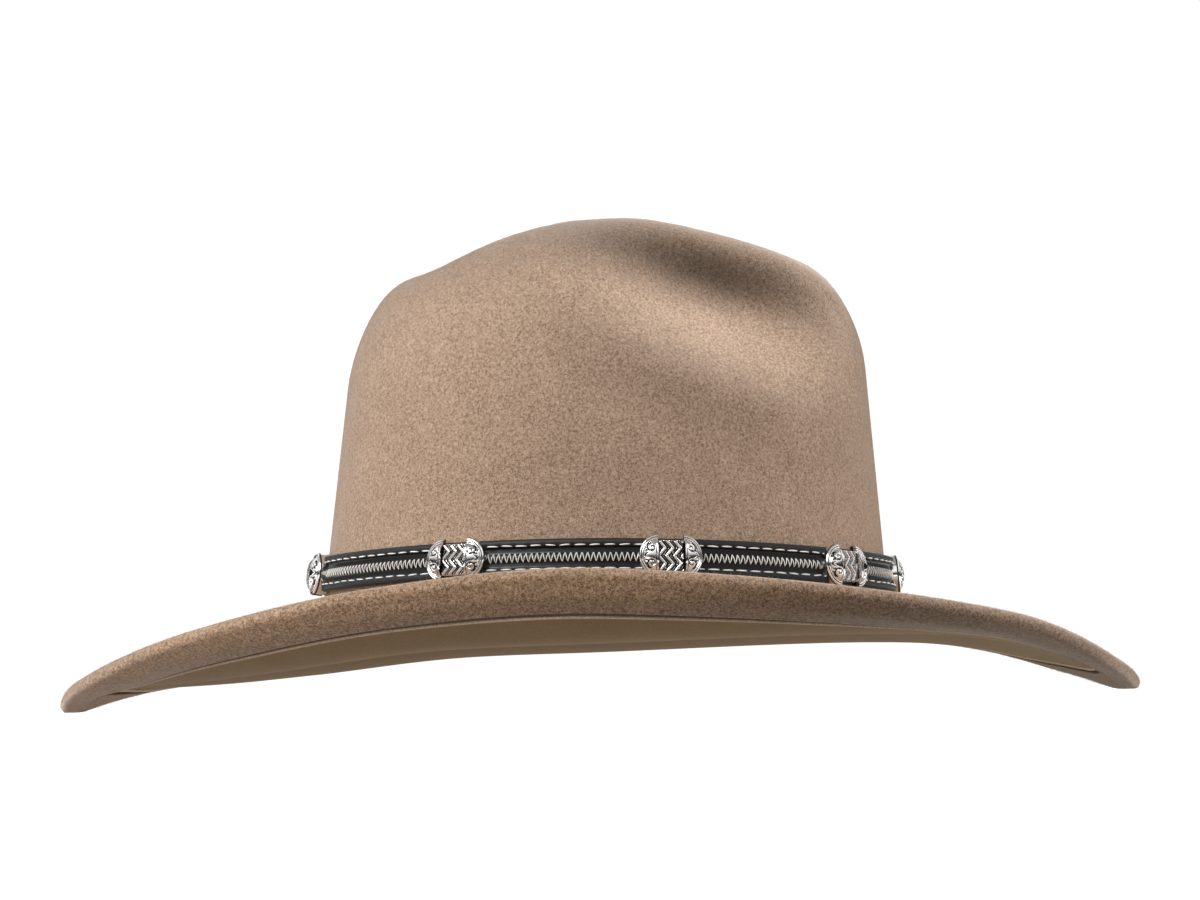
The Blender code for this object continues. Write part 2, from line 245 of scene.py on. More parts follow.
# Where the ridge on either side of the crease dips: place, reach and depth
RIDGE_DIPS = (
    (0.24, 0.22, 0.026),
    (-0.25, 0.22, 0.026),
    (-0.08, 0.18, 0.006),
    (-0.33, 0.19, 0.012),
)
DENT = {
    "ahead": 0.195, "up": 0.775, "tilt": -17.0,
    "along": 0.32, "above": 0.17, "below": 0.27, "depth": 0.138,
}


def creased(point):
    """Presses the top crease and the two side dents into a point of the crown."""
    x, y, z = point
    along = x / CROWN_LENGTH
    run = along - CREASE["ahead"]
    run_share = run / (CREASE["front"] if run > 0 else CREASE["behind"])
    forward = (run + CREASE["behind"]) / (CREASE["behind"] + CREASE["front"])
    width = mix(*CREASE["width"], min(1.0, max(0.0, forward))) * CROWN_WIDTH
    height_share = (z - BREAK_HEIGHT) / CROWN_HEIGHT
    fall = CREASE["depth"] * bump(run_share) * bump(y / width)
    fall += sum(depth * bump((along - ahead) / reach) for ahead, reach, depth in RIDGE_DIPS)
    fall *= min(1.0, max(0.0, (height_share - CREASE_FROM) / (CREASE_FULL - CREASE_FROM)))
    tilt = math.radians(DENT["tilt"])
    ahead = x - DENT["ahead"] * CROWN_LENGTH
    up = z - BREAK_HEIGHT - DENT["up"] * CROWN_HEIGHT
    slope = ahead * math.cos(tilt) + up * math.sin(tilt)
    across = up * math.cos(tilt) - ahead * math.sin(tilt)
    reach = DENT["above"] if across > 0 else DENT["below"]
    push = DENT["depth"] * CROWN_WIDTH * bump(slope / (DENT["along"] * CROWN_LENGTH))
    push *= bump(across / (reach * CROWN_HEIGHT))
    push *= min(1.0, abs(y) / (DENT_FADE * CROWN_WIDTH)) ** 2
    return Vector((x, y - math.copysign(push, y), z - fall * CROWN_HEIGHT))


print("the dent is", round(DENT["depth"] * CROWN_WIDTH / MM, 1), "mm deep")

# %% [markdown]
# ## The brim
#
# The brim leaves the crown downwards, and its sides are rolled up while its front and back
# droop. Each row of the table is one direction, from the front (0) to the back (180 degrees):
# how high the edge is, and the two angles and handles of the curve that leads to it.

# %% Section of the brim by direction
BRIM = (
    (0, 0.290, -15, 0.40, -26, 0.30),
    (20, 0.420, -16, 0.42, -12, 0.32),
    (45, 0.750, -17, 0.44, 26, 0.32),
    (90, 1.000, -35, 0.58, 68, 0.42),
    (112, 0.895, -35, 0.58, 56, 0.42),
    (135, 0.625, -33, 0.56, 38, 0.43),
    (160, 0.290, -28, 0.52, 5, 0.40),
    (180, 0.120, -17, 0.40, -30, 0.30),
)
CURVE_STEPS = 240


def brim_row(direction):
    """Edge, leave, leave handle, meet and meet handle at a direction, on smooth curves."""
    turn = abs((math.degrees(direction) + 180.0) % 360.0 - 180.0)
    rows = [(-BRIM[1][0], *BRIM[1][1:]), *BRIM, (360.0 - BRIM[-2][0], *BRIM[-2][1:])]
    last = len(rows) - 3
    k = next(k for k in range(1, last + 1) if turn <= rows[k + 1][0] or k == last)
    r0, r1, r2, r3 = (np.array(row, float) for row in rows[k - 1 : k + 3])
    span = r2[0] - r1[0]
    t = (turn - r1[0]) / span
    start = (r2 - r0) / (r2[0] - r0[0]) * span
    end = (r3 - r1) / (r3[0] - r1[0]) * span
    value = (2 * t**3 - 3 * t**2 + 1) * r1 + (t**3 - 2 * t**2 + t) * start
    value += (3 * t**2 - 2 * t**3) * r2 + (t**3 - t**2) * end
    return value[1:]


def brim_section(direction):
    """The brim's top face at one direction as points, from the crown to the edge."""
    start = crown_wall(direction, 0.0)
    edge, leave, leave_handle, meet, meet_handle = brim_row(direction)
    leave, meet = math.radians(leave), math.radians(meet)
    inset = (FELT_WALL + FOLD_BULGE / 2) * (1 + max(0.0, math.sin(meet)))
    reach = mix(BRIM_BACK, BRIM_FRONT, (1 + math.cos(direction)) / 2) - inset
    aside = BRIM_SIDE - inset
    end = Vector((math.cos(direction) * reach, math.sin(direction) * aside, edge * ROLL_HEIGHT))
    out = Vector((end.x - start.x, end.y - start.y, 0.0))
    reach = out.length
    out.normalize()
    up = Vector((0, 0, 1))
    one = start + (out * math.cos(leave) + up * math.sin(leave)) * (reach * leave_handle)
    two = end - (out * math.cos(meet) + up * math.sin(meet)) * (reach * meet_handle)
    t = np.linspace(0, 1, CURVE_STEPS + 1)[:, None]
    start, one, two, end = (np.array(p) for p in (start, one, two, end))
    ends = start * (1 - t) ** 3 + end * t**3
    return ends + one * 3 * t * (1 - t) ** 2 + two * 3 * t * t * (1 - t)


def along_curve(samples, distances):
    """Points at these distances along a curve. A negative distance counts back from its end."""
    lengths = np.concatenate([[0], np.cumsum(np.linalg.norm(np.diff(samples, axis=0), axis=1))])
    places = np.where(np.array(distances) < 0, lengths[-1] + np.array(distances), distances)
    return np.stack([np.interp(places, lengths, samples[:, axis]) for axis in range(3)], axis=1)


print("the brim's curve has", CURVE_STEPS, "steps")

# %% [markdown]
# ## The felt as one sheet
#
# The felt is a single wall, 2.5 mm thick: down the outside of the crown, out along the brim,
# folded under at the edge as the welt, and back along the underside into the crown. A grid is
# laid along that path, row by row, so the rows can be close together where the felt bends.
# The hat stands on the front and the back of its brim, so the whole sheet is pitched a little.

# %% Rows of the felt
COLUMNS = 320
DOME_ROWS, WALL_ROWS, FILLET_ROWS = 34, 22, 5
BRIM_ROWS, WELT_ROWS, FOLD_ROWS = 44, 14, 12
REST_PITCH, REST_SHIFT, REST_LIFT = 0.0207036, 0.0020124, -0.0062987
REST_SOFT = 1.2 * MM
DIRECTIONS = (np.arange(COLUMNS) + 0.5) * 2 * math.pi / COLUMNS


def at_rest(points):
    """Moves points of the level hat to where they are when it rests, flat where it touches."""
    x = points[..., 0] * math.cos(REST_PITCH) + points[..., 2] * math.sin(REST_PITCH) + REST_SHIFT
    z = points[..., 2] * math.cos(REST_PITCH) - points[..., 0] * math.sin(REST_PITCH) + REST_LIFT
    pressed = np.maximum(z + REST_SOFT, 0.0) ** 2 / (4 * REST_SOFT)
    z = np.where(z > REST_SOFT, z, pressed)
    return np.stack([x, points[..., 1], z], axis=-1)


def top_rows():
    """Rows of the outer face from the top of the crown to the edge of the brim."""
    rises = [2.0 - (k / DOME_ROWS) ** 1.5 for k in range(1, DOME_ROWS + 1)]
    rises += [1.0 - k / WALL_ROWS for k in range(1, WALL_ROWS)]
    rows = [[creased(crown_at(d, rise)) for d in DIRECTIONS] for rise in rises]
    sections = [brim_section(d) for d in DIRECTIONS]
    foot = np.array([crown_wall(d, BREAK_FILLET) for d in DIRECTIONS])
    corner = np.array([s[0] for s in sections])
    toe = np.array([along_curve(s, [BREAK_FILLET])[0] for s in sections])
    for k in range(FILLET_ROWS + 1):
        t = k / FILLET_ROWS
        rows.append(foot * (1 - t) ** 2 + corner * 2 * t * (1 - t) + toe * t**2)
    lengths = [np.linalg.norm(np.diff(s, axis=0), axis=1).sum() for s in sections]
    brim = []
    for s, length in zip(sections, lengths):
        places = list(np.linspace(BREAK_FILLET, length - WELT_WIDTH, BRIM_ROWS + 1)[1:])
        places += list(length - WELT_WIDTH * (1 - np.arange(1, WELT_ROWS + 1) / WELT_ROWS))
        brim.append(along_curve(s, places))
    return np.concatenate([np.array(rows, float), np.array(brim).transpose(1, 0, 2)])


def facing(rows, top):
    """The outward normal at each point of the rows."""
    grid = np.concatenate([np.repeat(top[None, None], COLUMNS, axis=1), rows])
    steps = grid[1:] - grid[:-1]
    steps /= np.linalg.norm(steps, axis=2, keepdims=True)
    down = np.concatenate([steps[:1], steps[1:] + steps[:-1], steps[-1:]])
    around = np.roll(grid, -1, axis=1) - np.roll(grid, 1, axis=1)
    normals = np.cross(down[1:], around[1:])
    return normals / np.linalg.norm(normals, axis=2, keepdims=True)


rows = top_rows()
top = np.array(creased(crown_at(0.0, 2.0)))
normals = facing(rows, top)
welt_row = len(rows) + 1 - WELT_ROWS
print(len(rows), "rows on the outside, and the welt starts at row", welt_row)

# %% [markdown]
# ## The fold and the welt
#
# At the edge the felt turns back on itself, and the flap ends 13 mm further in. It thins towards
# its end, which is round and not glued down, so a slot shows beside it, made darker with painted
# shade. Along the slot the smooth underside stands up as a thin pale ridge, where the cut felt
# shows. Each pair below is one row of points: how many rows it lies from the welt's end, and how
# deep it is under the top face, in millimetres.

# %% Fold, cut edge and slot
FOLD = 2 * FELT_WALL + FOLD_BULGE
FLAP_DEPTH, FLAP_TAPER_ROWS = 3.95, 7
FLAP_END = ((0.35, 3.93), (0.1, 3.83), (0.0, 3.6), (0.05, 3.35), (0.4, 3.2))
SLOT = ((1.0, 3.1), (1.0, 2.8), (0.2, 2.66), (-1.3, 2.62))
RIDGE = (
    (-1.45, 2.75), (-1.6, 3.1), (-1.8, 3.32), (-2.05, 3.36), (-2.25, 3.12), (-2.45, 2.8),
)
RIDGE_FOOT = ((-2.7, 2.58), (-3.2, 2.52))


def under(row, depth):
    """A row of points under the top face, between two of its rows."""
    k = min(math.floor(row), len(rows) - 2)
    t = row - k
    point = rows[k] * (1 - t) + rows[k + 1] * t
    normal = normals[k] * (1 - t) + normals[k + 1] * t
    return point - normal * depth


out = rows[-1] - rows[-2]
out -= normals[-1] * (out * normals[-1]).sum(axis=1, keepdims=True)
out /= np.linalg.norm(out, axis=1, keepdims=True)
sheet = list(rows)
for k in range(1, FOLD_ROWS + 1):
    turn = k * math.pi / FOLD_ROWS
    centre = rows[-1] - normals[-1] * (FOLD / 2)
    sheet.append(centre + (normals[-1] * math.cos(turn) + out * math.sin(turn)) * (FOLD / 2))
fold_end = len(sheet)
for k in range(len(rows) - 2, welt_row, -1):
    share = min(1.0, (k - welt_row) / FLAP_TAPER_ROWS)
    sheet.append(under(k, mix(FLAP_DEPTH * MM, FOLD, share * share * (3 - 2 * share))))
ends = []
for strip in (FLAP_END, SLOT, RIDGE, RIDGE_FOOT):
    sheet += [under(welt_row + row, depth * MM) for row, depth in strip]
    ends.append(len(sheet))
welt_end, slot_end, ridge_end = ends[:3]
sheet += [under(k, FELT_WALL) for k in range(welt_row - 4, -1, -1)]
sheet = at_rest(np.array(sheet))
print(len(sheet), "rows in all")

# %% [markdown]
# The grid's two long sides meet at one side of the hat and are joined, and each of its ends is
# a small ring at the top of the crown, which is filled and drawn to a point.
#
# Each point of the felt stores two numbers for its finish. One is how fuzzy the nap is, which is
# rough on the fold and the flap. The other is painted light and shade: painted shade on the upper
# slope of each dent and a painted highlight on its lower slope, with painted shade again below it,
# on the lower crown and on the upper crown behind the middle; painted shade towards the front of
# the flap and painted light towards its back; painted shade on the flap's end and in the slot
# beside it. The ridge beside the slot is made paler.

# %% Felt body
# Centre ahead and up, tilt, half length, half width and tone of each stroke of painted light and
# shade
LIGHT_AND_SHADE_STROKES = (
    (0.038, 0.1585, -17, 0.078, 0.0205, -0.66),
    (0.041, 0.136, -22, 0.080, 0.0190, 0.37),
    (0.030, 0.112, -20, 0.058, 0.0180, -0.20),
    (0.010, 0.070, -5, 0.115, 0.0420, -0.13),
    (-0.035, 0.168, 14, 0.085, 0.0220, -0.15),
)
STROKE_CLEAR = 30.0 * MM
# Painted light towards the back of the flap and painted shade towards its front: strength at the
# back, strength at the front, where the front's shade is centred and how far it reaches
FLAP_BACK_PAINTED_LIGHT, FLAP_FRONT_PAINTED_SHADE, FLAP_SHADE_AT, FLAP_SHADE_REACH = 0.38, 0.36, 0.62, 0.6
# Painted shade on the flap's end and in the slot, and how much paler the ridge is made
FLAP_END_SHADE, SLOT_SHADE, RIDGE_TONE = -0.3, -0.62, 0.3
RING_HEIGHT = 1.5 * MM


def lay_grid(name, points):
    """A grid laid on rows of points that close round, with its seam joined."""
    count, columns = points.shape[:2]
    piece = flat_grid(name, columns, count - 1)
    put_points(piece, np.concatenate([points, points[:, :1]], axis=1))
    on_all(piece, bpy.ops.mesh.remove_doubles, threshold=0.005 * MM)
    return piece


def stroke_light_and_shade(points):
    """How much the strokes of painted shade and painted light darken or brighten the felt at each
    point.
    """
    total = np.zeros(points.shape[:2])
    for x, z, tilt, along, across, tone in LIGHT_AND_SHADE_STROKES:
        ahead, up, tilt = points[..., 0] - x, points[..., 2] - z, math.radians(tilt)
        slope = (ahead * math.cos(tilt) + up * math.sin(tilt)) / along
        cross = (up * math.cos(tilt) - ahead * math.sin(tilt)) / across
        clear = np.minimum(1, np.abs(points[..., 1]) / STROKE_CLEAR) ** 2
        total += tone * bump(slope) * bump(cross) * clear
    return total


felt = lay_grid("felt_hat", sheet)
fuzz = np.zeros(sheet.shape[:2])
fuzz[len(rows) : fold_end] = np.linspace(0.1, 1.0, FOLD_ROWS)[:, None]
fuzz[fold_end:welt_end] = 1.0
paint(felt, "fuzz", fuzz)

# Painted light towards the back of the flap and painted shade towards its front
ahead = sheet[..., 0] / BRIM_FRONT
painted_light_and_shade = fuzz * FLAP_BACK_PAINTED_LIGHT * np.maximum(0, -ahead)
painted_light_and_shade -= fuzz * FLAP_FRONT_PAINTED_SHADE * bump((ahead - FLAP_SHADE_AT) / FLAP_SHADE_REACH)
# Painted shade and painted highlights from the strokes, on the crown
painted_light_and_shade[: len(rows) - WELT_ROWS] += stroke_light_and_shade(sheet[: len(rows) - WELT_ROWS])
# Painted shade on the flap's end and in the slot; the ridge beside it is made paler
painted_light_and_shade[welt_end - 2 : slot_end - 1] = FLAP_END_SHADE
painted_light_and_shade[slot_end - 1 : slot_end + 1] = SLOT_SHADE
painted_light_and_shade[slot_end + 1 : ridge_end] = RIDGE_TONE
paint(felt, "painted_light_and_shade", painted_light_and_shade)

# Zone 0 is the outside, 1 the cut ridge and 2 the underside
zones = np.zeros(len(felt.data.polygons), int)
per_row = len(felt.data.polygons) // (len(sheet) - 1)
zones[per_row * (slot_end - 1) : per_row * (ridge_end - 1)] = 1
zones[per_row * (ridge_end - 1) :] = 2
felt.data.polygons.foreach_set("material_index", zones)

for _ in range(2):
    mesh = edit(felt, "EDGE")
    rim = [edge for edge in mesh.edges if edge.is_boundary]
    highest = max(edge.verts[0].co.z for edge in rim)
    pick(felt, mesh, [edge for edge in rim if edge.verts[0].co.z > highest - RING_HEIGHT])
    bpy.ops.mesh.edge_face_add()
    bpy.ops.mesh.poke()
finish_faces(felt)
settle(felt, "felt_body")
print("felt:", len(felt.data.polygons), "faces")

# %% [markdown]
# ## Node helpers
#
# Each finish is a Principled shader fed by a few textures. An effect that several finishes use
# is a node group: it puts out a mask or a height, and the material decides what to do with it.

# %% Node helpers
def finish_for(name, values):
    """A new material, its node tree and its Principled shader with these values."""
    made = bpy.data.materials.new(name)
    made.use_nodes = True
    shader = made.node_tree.nodes["Principled BSDF"]
    for socket, value in values.items():
        shader.inputs[socket].default_value = value
    return made, made.node_tree, shader


def node(tree, kind, values=None, **settings):
    """One node with its settings and the values of its sockets."""
    made = tree.nodes.new(kind)
    for name, value in settings.items():
        setattr(made, name, value)
    for name, value in (values or {}).items():
        made.inputs[name].default_value = value
    return made


def noise(tree, scale, detail=3.0, rough=0.55, place=None):
    """A noise texture on Object coordinates, or on a place of its own."""
    made = node(tree, "ShaderNodeTexNoise", {"Scale": scale, "Detail": detail, "Roughness": rough})
    place = place or node(tree, "ShaderNodeTexCoord").outputs["Object"]
    tree.links.new(place, made.inputs["Vector"])
    return made.outputs["Fac"]


def math_node(tree, operation, first, second=0.0, clamp=False):
    """A Math node on two sockets or numbers."""
    made = node(tree, "ShaderNodeMath", operation=operation, use_clamp=clamp)
    for socket, value in zip(made.inputs, (first, second)):
        if isinstance(value, (int, float)):
            socket.default_value = value
        else:
            tree.links.new(value, socket)
    return made.outputs[0]


def plus(tree, first, second):
    return math_node(tree, "ADD", first, second)


def times(tree, first, second):
    return math_node(tree, "MULTIPLY", first, second)


def centred(tree, mask):
    """A mask from 0 to 1, moved to lie around 0."""
    return math_node(tree, "SUBTRACT", mask, 0.5)


def stored(tree, name):
    """A number that was stored with the points."""
    return node(tree, "ShaderNodeAttribute", attribute_name=name).outputs["Fac"]


def blend(tree, share, first, second, kind="MIX"):
    """A mix of two colours, each a socket or a colour."""
    made = node(tree, "ShaderNodeMix", data_type="RGBA", blend_type=kind)
    for number, value in ((0, share), (6, first), (7, second)):
        socket = made.inputs[number]
        if isinstance(value, tuple):
            socket.default_value = (*value, 1.0)
        elif isinstance(value, float):
            socket.default_value = value
        else:
            tree.links.new(value, socket)
    return made.outputs[2]


def relief(tree, shader, height, strength, distance):
    """Bumps the shader by a height."""
    made = node(tree, "ShaderNodeBump", {"Strength": strength, "Distance": distance})
    tree.links.new(height, made.inputs["Height"])
    tree.links.new(made.outputs["Normal"], shader.inputs["Normal"])


print("node helpers ready")

# %% [markdown]
# ## Nap
#
# Wool felt is a mat of fibres. It shows as a fine fleck under 1 mm across, bent a little so that
# it isn't like sand, with soft clumps about a centimetre wide. One group makes both, and each
# part of the felt takes them at its own strength.

# %% Nap group
FINE_SCALE, MID_SCALE, CLUMP_SCALE, BEND_SCALE = 2500.0, 980.0, 95.0, 420.0
FINE_SHARE, MID_SHARE, CLUMP_HEIGHT = 0.6, 0.4, 0.9
BEND = 1.6 * MM

nap = bpy.data.node_groups.new("wool nap", "ShaderNodeTree")
for output in ("Fleck", "Clump", "Height"):
    nap.interface.new_socket(output, in_out="OUTPUT", socket_type="NodeSocketFloat")
nap_out = node(nap, "NodeGroupOutput")
place = node(nap, "ShaderNodeTexCoord").outputs["Object"]
warp = node(nap, "ShaderNodeTexNoise", {"Scale": BEND_SCALE, "Detail": 2.0})
nap.links.new(place, warp.inputs["Vector"])
bent = node(nap, "ShaderNodeVectorMath", {1: (BEND, BEND, BEND)}, operation="MULTIPLY_ADD")
nap.links.new(warp.outputs["Color"], bent.inputs[0])
nap.links.new(place, bent.inputs[2])
fine = noise(nap, FINE_SCALE, 2.0, 0.6, bent.outputs[0])
mid = noise(nap, MID_SCALE, 2.0, 0.6)
fleck = plus(nap, times(nap, fine, FINE_SHARE), times(nap, mid, MID_SHARE))
clump = noise(nap, CLUMP_SCALE)
wide = node(nap, "ShaderNodeMapRange", {"From Min": 0.38, "From Max": 0.62})
nap.links.new(fleck, wide.inputs["Value"])
nap.links.new(wide.outputs[0], nap_out.inputs["Fleck"])
nap.links.new(clump, nap_out.inputs["Clump"])
nap.links.new(plus(nap, fleck, times(nap, clump, CLUMP_HEIGHT)), nap_out.inputs["Height"])
print("group", nap.name)

# %% [markdown]
# ## Felt finishes
#
# The outside is mid tan with a soft sheen at grazing angles, because upright fibres catch the
# light there. The cut edge of the welt shows the paler inside of the felt. The underside is pressed
# smooth, and its darker tone is painted shade. Where the felt is fuzzy its fleck is stronger, tufts
# show, and it is tinted darker and browner.

# %% Felt materials
FUZZ_GAIN, TUFT_SCALE, TUFT_SHARE = 0.45, 700.0, 1.5
CLUMP_SHARE, CLOUD_SCALE, CLOUD_SHARE = 0.22, 14.0, 0.16
MID_TONE = 0.43
# Fuzzy felt is tinted darker and browner, most of all on the flap
UNTINTED, FUZZ_TINT = (1.0, 1.0, 1.0), (0.76, 0.67, 0.54)
WOOL = {
    "Roughness": 0.95, "Specular IOR Level": 0.15,
    "Sheen Roughness": 0.45, "Sheen Tint": (1.0, 0.86, 0.76, 1.0),
}


def felt_finish(name, dark, light, contrast, grit, sheen):
    """A felt finish between two tones, with its fleck's contrast, its relief and its sheen."""
    made, tree, shader = finish_for(name, {**WOOL, "Sheen Weight": sheen})
    group = node(tree, "ShaderNodeGroup", node_tree=nap)
    fuzz = stored(tree, "fuzz")
    tuft = centred(tree, noise(tree, TUFT_SCALE, 3.0, 0.6))
    strength = times(tree, plus(tree, times(tree, fuzz, FUZZ_GAIN), 1.0), contrast)
    share = times(tree, centred(tree, group.outputs["Fleck"]), strength)
    clumps = times(tree, centred(tree, group.outputs["Clump"]), CLUMP_SHARE)
    clouds = times(tree, centred(tree, noise(tree, CLOUD_SCALE, 2.0)), CLOUD_SHARE)
    tufts = times(tree, tuft, times(tree, fuzz, TUFT_SHARE))
    share = plus(tree, plus(tree, share, tufts), plus(tree, clumps, clouds))
    tone = blend(tree, math_node(tree, "ADD", share, MID_TONE, clamp=True), dark, light)
    toned = blend(tree, math_node(tree, "POWER", fuzz, 2.0), UNTINTED, FUZZ_TINT)
    # The base colour is scaled by the painted light and shade stored with the points
    lit = node(tree, "ShaderNodeVectorMath", operation="SCALE")
    tree.links.new(blend(tree, 1.0, tone, toned, "MULTIPLY"), lit.inputs[0])
    tree.links.new(plus(tree, stored(tree, "painted_light_and_shade"), 1.0), lit.inputs["Scale"])
    tree.links.new(lit.outputs[0], shader.inputs["Base Color"])
    height = plus(tree, group.outputs["Height"], times(tree, fuzz, tuft))
    relief(tree, shader, height, grit, 0.35 * MM)
    return made


for finish in (
    felt_finish("felt_outside", (0.165, 0.104, 0.066), (0.68, 0.485, 0.35), 0.76, 0.6, 0.75),
    felt_finish("felt_cut", (0.34, 0.245, 0.16), (0.76, 0.58, 0.43), 0.6, 0.6, 0.2),
    # The underside's darker tone is painted shade
    felt_finish("felt_underside", (0.20, 0.130, 0.064), (0.42, 0.285, 0.155), 0.30, 0.25, 0.04),
):
    felt.data.materials.append(finish)
print("felt finishes on", felt.name)

# %% [markdown]
# Loose wool stands up from the nap and softens every edge. Each fibre is a bent strip of two
# faces, repeated by an Array, and then every strip is laid somewhere on the felt: most of them
# on the fold and the flap, where the felt is roughest.

# %% Loose fibres
FIBRES, FIBRES_ON_FOLD = 42000, 30000

# Share of the fibre's length along the felt and above it, and half its width in millimetres
FIBRE_SHAPE = ((0.0, -0.05, 0.036), (0.45, 0.22, 0.03), (0.85, 0.34, 0.012))


def lay_fibres():
    """The points of every fibre, six to each."""
    rng = np.random.default_rng(7)
    around = np.roll(sheet, -1, axis=1) - np.roll(sheet, 1, axis=1)
    outward = np.cross(np.gradient(sheet, axis=0), around)
    outward /= np.linalg.norm(outward, axis=2, keepdims=True)
    edge = len(rows) - WELT_ROWS
    row = np.concatenate([
        rng.uniform(edge, welt_end - 6, FIBRES_ON_FOLD),
        rng.uniform(2, edge, FIBRES - FIBRES_ON_FOLD),
    ])
    k, column = row.astype(int), rng.integers(0, COLUMNS, FIBRES)
    t, u = (row - k)[:, None], rng.random((FIBRES, 1))
    beside = (column + 1) % COLUMNS
    near = mix(sheet[k, column], sheet[k + 1, column], t)
    root = mix(near, mix(sheet[k, beside], sheet[k + 1, beside], t), u)
    up = outward[k, column]
    along = np.cross(up, rng.normal(size=(FIBRES, 3)))
    along /= np.linalg.norm(along, axis=1, keepdims=True)
    aside = np.cross(up, along)
    length = rng.uniform(0.7, 1.7, (FIBRES, 1)) * MM
    lean = rng.uniform(-0.3, 0.3, (FIBRES, 1))
    strips = []
    for share, rise, width in FIBRE_SHAPE:
        middle = root + (along * share + up * rise + aside * lean * share**2) * length
        strips += [middle - aside * width * MM, middle + aside * width * MM]
    strips = np.stack(strips, axis=1)
    strips[..., 2] = np.maximum(strips[..., 2], 0.0)
    return strips


fibres = flat_grid("wool_fibres", 1, 2)
fibres.modifiers.new("repeat", "ARRAY").count = FIBRES
bpy.ops.object.modifier_apply(modifier="repeat")
put_points(fibres, lay_fibres())
settle(fibres)
wool, tree, shader = finish_for("wool_fibre", {"Roughness": 0.9, "Specular IOR Level": 0.1})
tint = blend(tree, noise(tree, 300.0, 2.0), (0.20, 0.13, 0.085), (0.72, 0.54, 0.41))
tree.links.new(tint, shader.inputs["Base Color"])
fibres.data.materials.append(wool)
print(len(fibres.data.polygons), "faces of loose wool")

# %% [markdown]
# ## A band modelled flat
#
# A hatband is made flat and then laid round the crown, and it is modelled the same way: each
# piece is made flat, with x along the strap, y up from its lower edge and z out from the felt,
# and then every point is carried to its place on the crown's leaning wall.

# %% The way round the crown
BAND_WIDTH, BAND_LIFT = 13.2 * MM, 2.2 * MM
TURNS = np.linspace(0.0, 2 * math.pi, 1441)


def wall_frames(height):
    """Points on the crown's wall at one height, and the outward normals there."""
    step = 0.001
    points, outward = [], []
    for turn in TURNS:
        rise = crown_wall(turn, height + step) - crown_wall(turn, height - step)
        side = crown_wall(turn + step, height) - crown_wall(turn - step, height)
        points.append(crown_wall(turn, height))
        outward.append(side.cross(rise).normalized())
    return np.array(points), np.array(outward)


low_line, low_out = wall_frames(BAND_LIFT)
high_line, high_out = wall_frames(BAND_LIFT + BAND_WIDTH)
middle = (low_line + high_line) / 2
LENGTHS = np.concatenate([[0], np.cumsum(np.linalg.norm(np.diff(middle, axis=0), axis=1))])
ROUND = float(LENGTHS[-1])


def read(table, turn):
    return np.stack([np.interp(turn, TURNS, table[:, axis]) for axis in range(3)], axis=1)


def wrap(piece, place=0.0, rise=0.0):
    """Carries a flat piece to the crown. Place is where its middle lies along the strap."""
    points = np.empty(len(piece.data.vertices) * 3, np.float32)
    piece.data.vertices.foreach_get("co", points)
    along, up, away = points.reshape(-1, 3).astype(float).T
    turn = np.interp((along + place) % ROUND, LENGTHS, TURNS)
    share = ((up + rise) / BAND_WIDTH)[:, None]
    base = mix(read(low_line, turn), read(high_line, turn), share)
    outward = mix(read(low_out, turn), read(high_out, turn), share)
    outward /= np.linalg.norm(outward, axis=1, keepdims=True)
    put_points(piece, at_rest(base + outward * away[:, None]))


print("the strap is", round(ROUND, 4), "m round")

# %% [markdown]
# ## Leather strap
#
# The strap's two edges are folded over a filling, so they stand up as soft rolls on either side
# of a channel, and a thin core runs along the channel's middle. The section below is half of
# the strap, in millimetres up and out. Each stitch pulls the leather down where it goes in.

# %% Strap
STITCH_PITCH, STITCH_LENGTH = 5.2 * MM, 4.1 * MM
STITCH_ROWS = (2.45 * MM, 10.75 * MM)
HOLE_REACH, HOLE_WIDTH, HOLE_DEPTH = 0.75 * MM, 0.7 * MM, 0.38 * MM
FRONT_FACE = 1.5 * MM
STITCHES = round(ROUND / STITCH_PITCH)
STRAP_COLUMNS = 840
HALF_SECTION = (
    (6.6, 0.30), (4.4, 0.30), (2.2, 0.30), (0.9, 0.34), (0.25, 0.62), (0.0, 1.30), (0.02, 2.10),
    (0.22, 2.75), (0.70, 3.20), (1.30, 3.38), (1.90, 3.36), (2.40, 3.16), (2.80, 2.78),
    (3.02, 2.30), (3.16, 1.92), (3.50, 1.80), (4.20, 1.78), (4.90, 1.80), (5.20, 1.95),
    (5.55, 2.28), (6.05, 2.48), (6.6, 2.54),
)


def smooth_loop(points, steps):
    """A closed smooth curve through points, with a few steps from each to the next."""
    points = np.array(points, float)
    a, b, c, d = (np.roll(points, shift, axis=0) for shift in (1, 0, -1, -2))
    made = []
    for k in range(steps):
        t = k / steps
        square = 2 * a - 5 * b + 4 * c - d
        cube = 3 * b - a - 3 * c + d
        made.append(0.5 * (2 * b + (c - a) * t + square * t**2 + cube * t**3))
    return np.stack(made, axis=1).reshape(-1, points.shape[1])


other_half = [(BAND_WIDTH / MM - up, away) for up, away in HALF_SECTION[-2:0:-1]]
section = smooth_loop([*HALF_SECTION, *other_half], 2) * MM
along = np.arange(STRAP_COLUMNS) * ROUND / STRAP_COLUMNS
flat = np.zeros((STRAP_COLUMNS, len(section), 3))
flat[:, :, 0] = along[:, None]
flat[:, :, 1:] = section[None]
hole = (along * STITCHES / ROUND + 0.5) % 1.0 - 0.5
pull = np.exp(-((hole * STITCH_PITCH / HOLE_REACH) ** 2))[:, None]
for line in STITCH_ROWS:
    near = np.exp(-(((section[:, 0] - line) / HOLE_WIDTH) ** 2)) * (section[:, 1] > FRONT_FACE)
    flat[:, :, 2] -= HOLE_DEPTH * pull * near[None]
strap = lay_grid("leather_strap", np.concatenate([flat, flat[:1]]))
away = np.array([vertex.co.z for vertex in strap.data.vertices])
